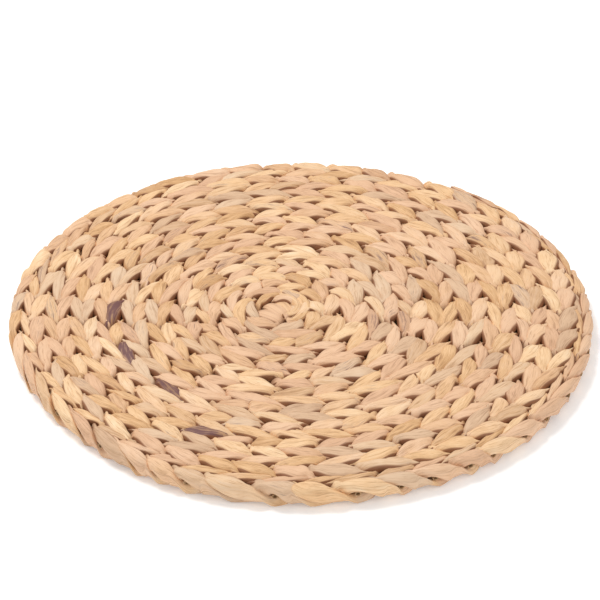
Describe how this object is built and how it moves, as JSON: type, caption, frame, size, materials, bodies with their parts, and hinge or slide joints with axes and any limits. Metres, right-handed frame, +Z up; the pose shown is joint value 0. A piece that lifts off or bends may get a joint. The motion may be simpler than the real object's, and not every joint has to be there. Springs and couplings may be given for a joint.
{
  "type": "woven round chair seat pad",
  "caption": "Round flat seat pad for a chair, twined in a spiral from dried water-hyacinth stalks over radial stakes.",
  "frame": {"origin": "centre of the pad on the plane it rests on", "axes": "+Z up through the thickness; +Y towards the back of the seat, where the last row tapers out"},
  "size_m": [0.4037, 0.4003, 0.018],
  "materials": {
    "stalk_straw": "dried water-hyacinth stalk, golden straw, fine lengthwise fibre, soft satin",
    "stalk_pale": "dried water-hyacinth stalk, pale straw, fine lengthwise fibre, soft satin",
    "stalk_tan": "dried water-hyacinth stalk, tan, fine lengthwise fibre, soft satin",
    "stalk_rosy": "dried water-hyacinth stalk, rosy tan, fine lengthwise fibre, soft satin",
    "stake_stalk": "flattened dried stalk, matte, cut ends pale and striped"
  },
  "bodies": {
    "root": {"base_stake_1": "stake_stalk", "base_stake_2": "stake_stalk", "base_stake_3": "stake_stalk", "centre_wrap": "stalk_tan", "added_stakes_round_01": "stake_stalk", "added_stakes_round_02": "stake_stalk", "added_stakes_round_03": "stake_stalk", "added_stakes_round_04": "stake_stalk", "added_stakes_round_05": "stake_stalk", "added_stakes_round_06": "stake_stalk", "added_stakes_round_07": "stake_stalk", "added_stakes_round_08": "stake_stalk", "added_stakes_round_09": "stake_stalk", "added_stakes_round_10": "stake_stalk", "outer_weaver_1_length_01": "stalk_straw", "outer_weaver_1_length_02": "stalk_straw", "outer_weaver_1_length_03": "stalk_straw", "outer_weaver_1_length_04": "stalk_straw", "outer_weaver_1_length_05": "stalk_straw", "outer_weaver_1_length_06": "stalk_straw", "outer_weaver_1_length_07": "stalk_straw", "outer_weaver_1_length_08": "stalk_straw", "outer_weaver_1_length_09": "stalk_straw", "outer_weaver_1_length_10": "stalk_straw", "outer_weaver_2_length_01": "stalk_pale", "outer_weaver_2_length_02": "stalk_pale", "outer_weaver_2_length_03": "stalk_pale", "outer_weaver_2_length_04": "stalk_pale", "outer_weaver_2_length_05": "stalk_pale", "outer_weaver_2_length_06": "stalk_pale", "outer_weaver_2_length_07": "stalk_pale", "outer_weaver_2_length_08": "stalk_pale", "outer_weaver_2_length_09": "stalk_pale", "outer_weaver_2_length_10": "stalk_pale", "inner_weaver_1_length_01": "stalk_tan", "inner_weaver_1_length_02": "stalk_tan", "inner_weaver_1_length_03": "stalk_tan", "inner_weaver_1_length_04": "stalk_tan", "inner_weaver_1_length_05": "stalk_tan", "inner_weaver_1_length_06": "stalk_tan", "inner_weaver_1_length_07": "stalk_tan", "inner_weaver_1_length_08": "stalk_tan", "inner_weaver_1_length_09": "stalk_tan", "inner_weaver_1_length_10": "stalk_tan", "inner_weaver_2_length_01": "stalk_rosy", "inner_weaver_2_length_02": "stalk_rosy", "inner_weaver_2_length_03": "stalk_rosy", "inner_weaver_2_length_04": "stalk_rosy", "inner_weaver_2_length_05": "stalk_rosy", "inner_weaver_2_length_06": "stalk_rosy", "inner_weaver_2_length_07": "stalk_rosy", "inner_weaver_2_length_08": "stalk_rosy", "inner_weaver_2_length_09": "stalk_rosy", "inner_weaver_2_length_10": "stalk_rosy"}
  },
  "joints": []
}
